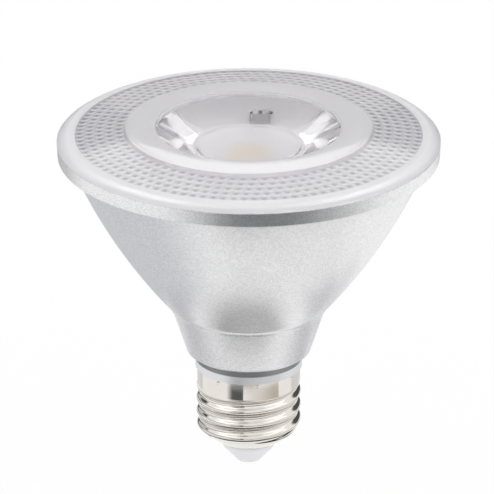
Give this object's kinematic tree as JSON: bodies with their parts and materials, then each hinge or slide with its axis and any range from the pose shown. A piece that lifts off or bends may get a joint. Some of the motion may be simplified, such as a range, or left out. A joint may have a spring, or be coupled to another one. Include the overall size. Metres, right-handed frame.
{
  "type": "led reflector lamp",
  "caption": "Short-neck LED reflector lamp with a silver bowl body, a clear front lens with a central collimator and pillow rings, and an Edison screw base.",
  "frame": {"origin": "tip of the centre contact, on the lamp's axis", "axes": "+Z along the axis, from the screw base to the front lens; -Y is the side that the picture shows"},
  "size_m": [0.0952, 0.0952, 0.0911],
  "materials": {
    "silver_paint": "satin silver paint with fine metal flake",
    "clear_lens": "clear moulded plastic, polished, with a plain ring round the window",
    "grey_plastic": "satin grey moulding",
    "nickel": "bright nickel plate",
    "pale_insulator": "smooth pale moulding",
    "bright_pan": "bright pressed sheet",
    "white_board": "white solder mask",
    "white_ceramic": "smooth white",
    "phosphor": "soft yellow gel",
    "steel": "plated",
    "connector_grey": "satin moulding",
    "lead_white": "wire insulation",
    "lead_grey": "wire insulation",
    "circuit_board": "green solder mask",
    "ferrite": "dull ferrite",
    "bobbin_plastic": "moulded",
    "copper": "enamelled wire",
    "capacitor_sleeve": "shrink sleeve",
    "film_yellow": "boxed",
    "black_epoxy": "moulded epoxy",
    "varistor_blue": "dipped epoxy",
    "fuse_green": "cement coat",
    "bare_wire": "tinned wire"
  },
  "bodies": {
    "root": {"housing": "silver_paint", "front_lens": "clear_lens", "driver_housing": "grey_plastic", "screw_shell": "nickel", "base_insulator": "pale_insulator", "center_contact": "nickel", "heat_sink_cup": "bright_pan", "led_board": "white_board", "led_substrate": "white_ceramic", "led_dam": "white_ceramic", "led_phosphor": "phosphor", "board_screws": "steel", "led_connector": "connector_grey", "led_lead_positive": "lead_white", "led_lead_negative": "lead_grey", "driver_board": "circuit_board", "transformer_core": "ferrite", "transformer_bobbin": "bobbin_plastic", "transformer_winding": "copper", "bulk_capacitor": "capacitor_sleeve", "film_capacitor": "film_yellow", "bridge_rectifier": "black_epoxy", "controller_chip": "black_epoxy", "varistor": "varistor_blue", "fuse_resistor": "fuse_green", "filter_choke": "ferrite", "live_wire": "bare_wire", "neutral_wire": "bare_wire"}
  },
  "joints": []
}
